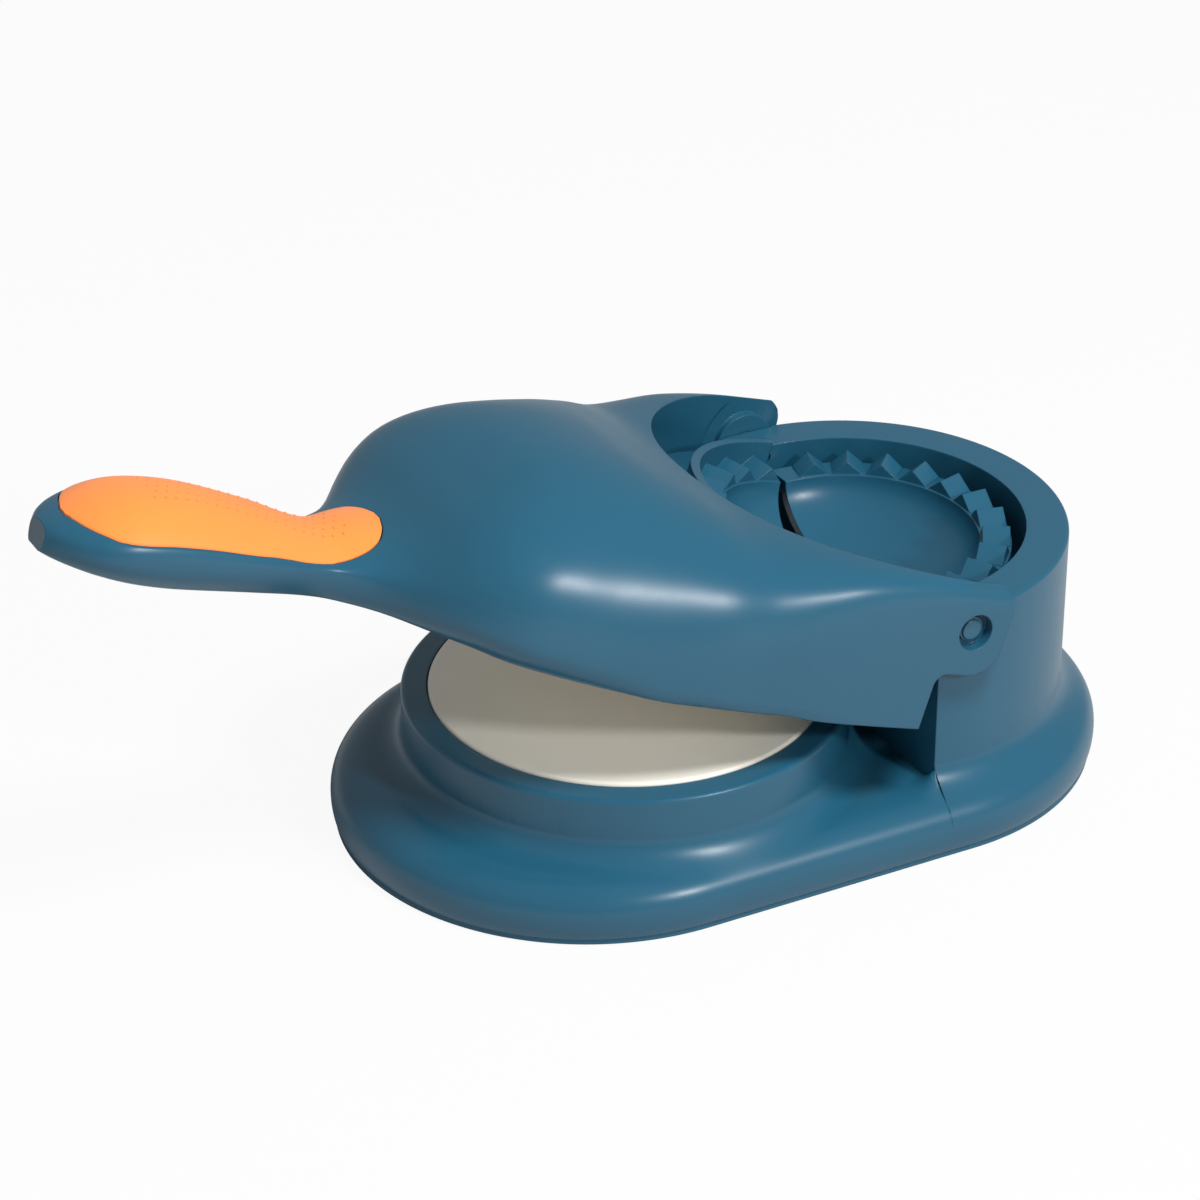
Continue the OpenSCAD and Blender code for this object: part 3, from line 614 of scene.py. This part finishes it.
def low_w(u):
    """Height of the lower edge: the skirt, then the way from the dome to the bar, and a rise at the tip."""
    edge = -SKIRT + SKIRT_RISE * ease((u - PAD_U + 26) / 12)
    w = edge + (BAR_LOW - edge) * ease((u - PAD_U - SKIRT_U) / (NECK_U - PAD_U - SKIRT_U))
    return w + TIP_RISE * (max(0.0, u - TIP_U + TIP_RUN) / TIP_RUN) ** 2


def surf(u, y):
    """Height of the handle's outside at distance u and width y."""
    half, h0, n = at(ROWS, HALF, u), at(ROWS, BELLY_W, u), at(ROWS, SQUARE, u)
    return h0 + (at(ROWS, TOP, u) - h0) * max(0.0, 1 - (abs(y) / half) ** n) ** (1 / n)


def evenly(line, count):
    """The same line through count points at equal steps."""
    lengths = [0.0]
    for a, b in zip(line, line[1:]):
        lengths.append(lengths[-1] + math.dist(a, b))
    out, i = [], 0
    for k in range(count):
        want = lengths[-1] * k / (count - 1)
        while i < len(line) - 2 and lengths[i + 1] < want:
            i += 1
        span = lengths[i + 1] - lengths[i]
        t = (want - lengths[i]) / span if span else 0
        out.append(tuple(p + (q - p) * t for p, q in zip(line[i], line[i + 1])))
    return out


def section(u, t, count=121):
    """Section from the near lower edge over the top to the far one, open below, t inside the outside."""
    half, h0, top = at(ROWS, HALF, u) - t, at(ROWS, BELLY_W, u), at(ROWS, TOP, u) - t
    edge, n, low = max(at(ROWS, EDGE, u) - t, 0.4), at(ROWS, SQUARE, u), low_w(u)
    lip = low + (SKIN if t else 0)
    side = [(edge + (half - edge) * math.cos(a), h0 - (h0 - lip) * math.sin(a))
            for a in (math.radians(90 - 90 * i / 24) for i in range(24))]
    over = [(half * math.copysign(abs(math.cos(a)) ** (2 / n), math.cos(a)),
             h0 + (top - h0) * max(math.sin(a), 0) ** (2 / n))
            for a in (math.pi * i / 240 for i in range(241))]
    line = ([(-edge, low)] + [(-y, w) for y, w in side] + [(-y, w) for y, w in over]
            + [(y, w) for y, w in reversed(side)] + [(edge, low)])
    return evenly(line, count)


# %% [markdown]
# ## Building the shell
# The real handle is a thin shell, open below. A solid with the Solidify modifier would do, but the wall
# has to stay closed for the cuts, so an outer and an inner section are joined in one loop. The notch
# and the rounded end of each arm are cut, and the hubs that hold the hinge pins are joined on.

# %% Build the shell
STEP, TIP_ROUND = 2, 12


def shell(name, t):
    """The handle's wall, t thick, from the arms' ends to the tip."""
    straight = [ARM_BACK + STEP * k for k in range(int((TIP_U - TIP_ROUND - ARM_BACK) / STEP) + 1)]
    rounding = [TIP_U - TIP_ROUND + TIP_ROUND * math.sin(math.radians(a)) for a in range(8, 91, 6)]
    stations = sorted(set(round(u, 4) for u in straight + rounding + [TIP_U]))
    last = TIP_U - t
    outer = [[(-u, y, w) for y, w in section(u, 0)] for u in stations]
    inner_u = [min(u, last - (stations[-1] - u) * 0.2) for u in stations]
    inner = [[(-u, y, w) for y, w in section(u, t)] for u in inner_u]
    loops = [o + i[::-1] for o, i in zip(outer, inner)]
    return rings(name, loops)


handle = shell("handle_body", SKIN)
fuse(handle, front_ring("scoop wall", SCOOP_R - 2, SCOOP_R + 1.8, LEDGE_W, ARM_END_R - 0.2, -ARM_END_R))
cut(handle, turned("scoop", [(0, -40), (SCOOP_R, -40), (SCOOP_R, 40), (0, 40)], 256))
NOTCH_R, HEEL_R, CROWN_R = 3, 7, 6.5
NOTCH_X = -CHEEK_X + 2.9
behind = block("behind the skirt", (-CHEEK_X - 0.1, -80, -40), (40, 80, 40))
corner = block("notch corner", (-CHEEK_X - 0.1, -90, -ARM_END_R - NOTCH_R), (NOTCH_X, 90, -ARM_END_R))
cut(corner, moved(peg("notch fillet", NOTCH_R, -95, 95), NOTCH_X, 0, -ARM_END_R - NOTCH_R))
round_end = (arc(ARM_END_X - HEEL_R, HEEL_R - ARM_END_R, HEEL_R, HEEL_R, -90, 0, 24)
             + arc(ARM_END_X - CROWN_R, ARM_TOP - CROWN_R, CROWN_R, CROWN_R, 0, 90, 24)
             + [(-30, 20), (-30, -ARM_END_R)])
cut(behind, rings("arm end", [[(x, y, z) for x, z in round_end] for y in (-90, 90)]), corner)
cut(handle, behind)
for side in (-1, 1):
    cut(handle, peg("relief", ARM_END_R + 1, *sorted((side * (TOWER_R - 4), side * (TOWER_R + 0.4)))))
fuse(handle, front_ring("ledge", COLLAR_R + 0.6, SCOOP_R + 1, LEDGE_W, LEDGE_TOP, FLANGE_U))
for side in (-1, 1):
    fuse(handle, peg("hub", HUB_R, *sorted((side * HUB_Y, side * (ARM_Y - 1)))))
for side in (-1, 1):
    cut(handle, peg("bore", PIN_R + 0.05, *sorted((side * (HUB_Y - 1), side * (ARM_Y + 2)))),
        peg("pin recess", PIN_R + 1.3, *sorted((side * (ARM_Y - 1.6), side * (ARM_Y + 2)))))

# %% [markdown]
# ## The soft grip
# A leaf of orange rubber lies in a shallow pocket on the bar, crowned along its middle. The same leaf,
# a hair wider, cuts the pocket, so the two always fit.

# %% The leaf
GRIP_U0, GRIP_U1, GRIP_DEPTH, GRIP_CROWN = NECK_U - 2.5, TIP_U - 4.5, 1.2, 3.4
GRIP_MIN, GRIP_PROUD, POCKET_TOP = 1.5, 0.2, 5
# distance, half width
GRIP = [(GRIP_U0, GRIP_MIN), (GRIP_U0 + 1, 5.2), (GRIP_U0 + 3, 8.6), (NECK_U + 4, NECK_W - 2.2),
        (NECK_U + 11, NECK_W - 1.7), (NECK_U + 19, NECK_W - 0.8),
        (TIP_U - 45, PALM_W - 2.5), (TIP_U - 35, PALM_W - 1.7),
        (TIP_U - 25, PALM_W - 1.2), (TIP_U - 17.5, PALM_W - 1.3), (TIP_U - 12.5, PALM_W - 2.6),
        (TIP_U - 9, PALM_W - 5.4), (TIP_U - 6.5, PALM_W - 9.1), (GRIP_U1, GRIP_MIN)]


def leaf(name, gap, stations=110, across=48):
    """The grip, or with a gap the pocket that it lies in."""
    loops = []
    for k in range(stations + 1):
        u = (GRIP_U0 + GRIP_U1) / 2 - (GRIP_U1 - GRIP_U0) / 2 * math.cos(math.pi * k / stations)
        g = max(at(GRIP, HALF, u), GRIP_MIN) + gap
        v = u + gap * (1 if u > NECK_U + 20 else -1)
        crown = 1 - abs(2 * (u - GRIP_U0) / (GRIP_U1 - GRIP_U0) - 1) ** 4
        ys = [g * math.cos(math.pi * i / across) for i in range(across + 1)]
        rise = [POCKET_TOP if gap else GRIP_PROUD + GRIP_CROWN * crown * (1 - (y / g) ** 2) for y in ys]
        top = [(-v, y, surf(u, y) + h) for y, h in zip(ys, rise)]
        low = [(-v, y, surf(u, y) - GRIP_DEPTH - gap) for y in reversed(ys)]
        loops.append(top + low)
    return rings(name, loops)


cut(handle, leaf("pocket", 0.2))
finished(handle, ON_HANDLE, BLUE, "handle", "blue_body", "handle_shell")
grip = leaf("soft_grip", 0)

# %% [markdown]
# ## Small dots on the grip
# Geometry Nodes lays a staggered grid of points over the grip and drops each point on it by a ray. Points
# that land near the edge are left out, and the others get a small dome. The end of the grip stays bare.

# %% The dots
def dots(target, name, box, pitch, radius, margin):
    """Domes on the target's upper side, inside the box of (x0, x1, y0, y1) and a margin from its edge."""
    ray_start, ray_length = 40.0, 100.0
    tree = bpy.data.node_groups.new(name, "GeometryNodeTree")
    face, add, wire = tree.interface, tree.nodes.new, tree.links.new
    face.new_socket("Geometry", in_out="INPUT", socket_type="NodeSocketGeometry")
    sockets = {label: face.new_socket(label, in_out="INPUT", socket_type=kind).identifier
               for label, kind in (("Pitch", "NodeSocketFloat"), ("Radius", "NodeSocketFloat"),
                                   ("Margin", "NodeSocketFloat"), ("Material", "NodeSocketMaterial"))}
    face.new_socket("Geometry", in_out="OUTPUT", socket_type="NodeSocketGeometry")
    given, result = add("NodeGroupInput"), add("NodeGroupOutput")

    def feed(n, values):
        for slot, value in zip(n.inputs, values):
            if isinstance(value, bpy.types.NodeSocket):
                wire(value, slot)
            else:
                slot.default_value = value
        return n.outputs[0]

    def maths(operation, *values, kind="ShaderNodeMath"):
        n = add(kind)
        n.operation = operation
        return feed(n, values)

    def vector(x, y, z=0.0):
        return feed(add("ShaderNodeCombineXYZ"), (x, y, z))

    x0, x1, y0, y1 = box
    grid = add("GeometryNodeMeshGrid")
    grid.inputs["Size X"].default_value, grid.inputs["Size Y"].default_value = x1 - x0, y1 - y0
    for axis, length in (("Vertices X", x1 - x0), ("Vertices Y", y1 - y0)):
        steps = maths("FLOOR", maths("DIVIDE", length, given.outputs["Pitch"]))
        wire(maths("ADD", steps, 1.0), grid.inputs[axis])
    here = add("GeometryNodeInputPosition").outputs[0]
    split = add("ShaderNodeSeparateXYZ")
    wire(here, split.inputs[0])
    from_side = maths("ADD", split.outputs[1], (y1 - y0) / 2)
    row = maths("ROUND", maths("DIVIDE", from_side, given.outputs["Pitch"]))
    stagger = maths("MULTIPLY", maths("MODULO", row, 2.0), maths("MULTIPLY", given.outputs["Pitch"], 0.5))
    over = add("GeometryNodeSetPosition")
    wire(grid.outputs["Mesh"], over.inputs["Geometry"])
    wire(vector(maths("ADD", stagger, (x0 + x1) / 2), (y0 + y1) / 2, ray_start), over.inputs["Offset"])

    def ray(dx, dy):
        n = add("GeometryNodeRaycast")
        wire(given.outputs["Geometry"], n.inputs["Target Geometry"])
        source = maths("ADD", here, vector(dx, dy), kind="ShaderNodeVectorMath")
        wire(source, n.inputs["Source Position"])
        n.inputs["Ray Direction"].default_value, n.inputs["Ray Length"].default_value = (0, 0, -1), ray_length
        return n

    centre = ray(0.0, 0.0)
    keep = centre.outputs["Is Hit"]
    away = maths("MULTIPLY", given.outputs["Margin"], -1.0)
    for dx, dy in ((given.outputs["Margin"], 0.0), (away, 0.0), (0.0, given.outputs["Margin"]), (0.0, away)):
        both = add("FunctionNodeBooleanMath")
        wire(keep, both.inputs[0])
        wire(ray(dx, dy).outputs["Is Hit"], both.inputs[1])
        keep = both.outputs[0]
    landed = add("GeometryNodeSetPosition")
    wire(over.outputs[0], landed.inputs["Geometry"])
    wire(centre.outputs["Hit Position"], landed.inputs["Position"])
    dome = add("GeometryNodeMeshIcoSphere")
    dome.inputs["Subdivisions"].default_value = 2
    wire(given.outputs["Radius"], dome.inputs["Radius"])
    flat = add("GeometryNodeTransform")
    wire(dome.outputs["Mesh"], flat.inputs["Geometry"])
    flat.inputs["Scale"].default_value = (1.0, 1.0, 0.4)
    spread = add("GeometryNodeInstanceOnPoints")
    wire(landed.outputs[0], spread.inputs["Points"])
    wire(keep, spread.inputs["Selection"])
    wire(flat.outputs[0], spread.inputs["Instance"])
    real, skin = add("GeometryNodeRealizeInstances"), add("GeometryNodeSetMaterial")
    wire(spread.outputs[0], real.inputs[0])
    wire(real.outputs[0], skin.inputs["Geometry"])
    wire(given.outputs["Material"], skin.inputs["Material"])
    wire(skin.outputs[0], result.inputs[0])

    made = bpy.data.objects.new(name, target.data.copy())
    bpy.context.scene.collection.objects.link(made)
    step = made.modifiers.new("dots", "NODES")
    step.node_group = tree
    for label, value in (("Pitch", pitch), ("Radius", radius), ("Margin", margin), ("Material", ORANGE)):
        step[sockets[label]] = value
    mesh = bpy.data.meshes.new_from_object(made.evaluated_get(bpy.context.evaluated_depsgraph_get()))
    made.modifiers.clear()
    made.data = mesh
    return made


bumps = dots(grip, "grip_dots", (-TIP_U + 22, -NECK_U - 7, -4.8, 4.8), pitch=2.4, radius=0.36, margin=3.6)
print("dots:", len(bumps.data.vertices) // 42)
finished(grip, ON_HANDLE, ORANGE, "handle", "orange_grip", "grip_insert", sharp=50)
finished(bumps, ON_HANDLE, ORANGE, "handle", "orange_grip", sharp=80)

# %% [markdown]
# ## The bar's lid
# A lid closes the bar from below between the shell's edges. Two screws hold it, with their heads sunk.

# %% Lid and screws
LID_U, LID_T, LID_GAP, LID_SINK = PAD_U + 57, 2.4, 0.25, 0.15
HEAD_R, HEAD_T, HEAD_GAP, HEAD_EDGE = 2.8, 1.8, 0.3, 0.5
stations = [LID_U + (TIP_U - SKIN - LID_GAP - LID_U) * math.sin(math.radians(90 * k / 60)) for k in range(61)]
loops = []
for u in stations:
    half, low = max(at(ROWS, EDGE, u) - SKIN - LID_GAP, 0.4), low_w(u) + LID_SINK
    loops.append([(-u, y, low) for y in (-half, 0, half)] + [(-u, y, low + LID_T) for y in (half, 0, -half)])
lid = rings("handle_lid", loops)
screws = []
for u in (NECK_U + 8, TIP_U - 30):
    low, room = low_w(u) + LID_SINK, HEAD_R + HEAD_GAP
    cut(lid, moved(turned("head pocket", [(0, -2), (room, -2), (room, 2), (0, 2)], 64), -u, 0, low))
    head = turned("screw", [(0, 0.2), (HEAD_R - HEAD_EDGE, 0.2)]
                  + arc(HEAD_R - HEAD_EDGE, 0.7, HEAD_EDGE, HEAD_EDGE, -90, 0, 5)
                  + [(HEAD_R, HEAD_T), (1.4, HEAD_T), (1.4, 8), (0, 8)], 64)
    for turn in (0, 90):
        slot_cut = block("slot", (-1.7, -0.32, -1), (1.7, 0.32, 1.0))
        slot_cut.data.transform(Matrix.Rotation(math.radians(turn), 4, "Z"))
        cut(head, slot_cut)
    screws.append(moved(head, -u, 0, low))
finished(lid, ON_HANDLE, BLUE, "handle", "blue_body", "handle_underside")
finished(fuse(screws[0], screws[1]), ON_HANDLE, ZINC, "handle", "screw_steel", "handle_screws")

# %% [markdown]
# ## Floor
# The press stands on a white sheet. The floor is white to the camera by its own colour and still takes
# the shadow, so no lamp has to burn it out.

# %% Floor
floor = piece("floor", [(-3, -3, 0), (3, -3, 0), (3, 3, 0), (-3, 3, 0)], [(0, 1, 2, 3)])
paper = Finish("white paper floor")
paper.set(Base_Color=(0.6, 0.6, 0.6, 1), Roughness=0.9)
glow = paper.node("ShaderNodeEmission", "Emission", Color=(1, 1, 1, 1), Strength=1.0)
seen = paper.node("ShaderNodeLightPath", "Is Camera Ray")
shown = paper.node("ShaderNodeMixShader", "Shader", Fac=seen * 0.93)
paper.tree.links.new(paper.shader.outputs[0], shown.socket.node.inputs[1])
paper.tree.links.new(glow.socket, shown.socket.node.inputs[2])
paper.tree.links.new(shown.socket, paper.tree.nodes["Material Output"].inputs["Surface"])
floor.data.materials.append(paper.material)

# %% [markdown]
# ## Light
# Both lamps stand in front, a little to the right. The wide one is high and shapes the form, and glossy
# rays don't see it, so it makes no highlight. The small one is lower and gives the highlights. The
# pale world fills the rest. The camera sees it white, and the press gets a third of that light.

# %% Lamps
LAMP_REACH, ROOM_LIGHT = 1.2, 0.33


def lamp(name, azimuth, elevation, size, watts, glossy):
    """A round lamp in a direction given in degrees. glossy says whether it makes highlights."""
    data = bpy.data.lights.new(name, "AREA")
    data.shape, data.size, data.energy = "DISK", size, watts
    made = bpy.data.objects.new(name, data)
    a, e = math.radians(azimuth), math.radians(elevation)
    towards = Vector((math.sin(a) * math.cos(e), -math.cos(a) * math.cos(e), math.sin(e)))
    made.location = Vector((0.0, 0.0, 0.05)) + towards * LAMP_REACH
    made.rotation_mode = "QUATERNION"
    made.rotation_quaternion = towards.to_track_quat("Z", "Y")
    made.visible_glossy = glossy
    bpy.context.scene.collection.objects.link(made)
    return made


for made in (lamp("overhead", 12, 64, size=0.3, watts=14.0, glossy=False),
             lamp("front", 17, 29, size=0.12, watts=5.6, glossy=True)):
    print(made.name, "lamp at", tuple(round(v, 2) for v in made.location), "m")

world = bpy.data.worlds.new("pale room")
world.use_nodes = True
bpy.context.scene.world = world
links, nodes = world.node_tree.links, world.node_tree.nodes
path = nodes.new("ShaderNodeLightPath")
sky, room = nodes["Background"], nodes.new("ShaderNodeBackground")
sky.inputs["Color"].default_value, sky.inputs["Strength"].default_value = (1, 1, 1, 1), 1.0
room.inputs["Color"].default_value, room.inputs["Strength"].default_value = (1, 1, 1, 1), ROOM_LIGHT
chosen = nodes.new("ShaderNodeMixShader")
links.new(path.outputs["Is Camera Ray"], chosen.inputs[0])
links.new(room.outputs[0], chosen.inputs[1])
links.new(sky.outputs[0], chosen.inputs[2])
links.new(chosen.outputs[0], nodes["World Output"].inputs["Surface"])
bpy.context.scene.view_settings.view_transform = "Standard"
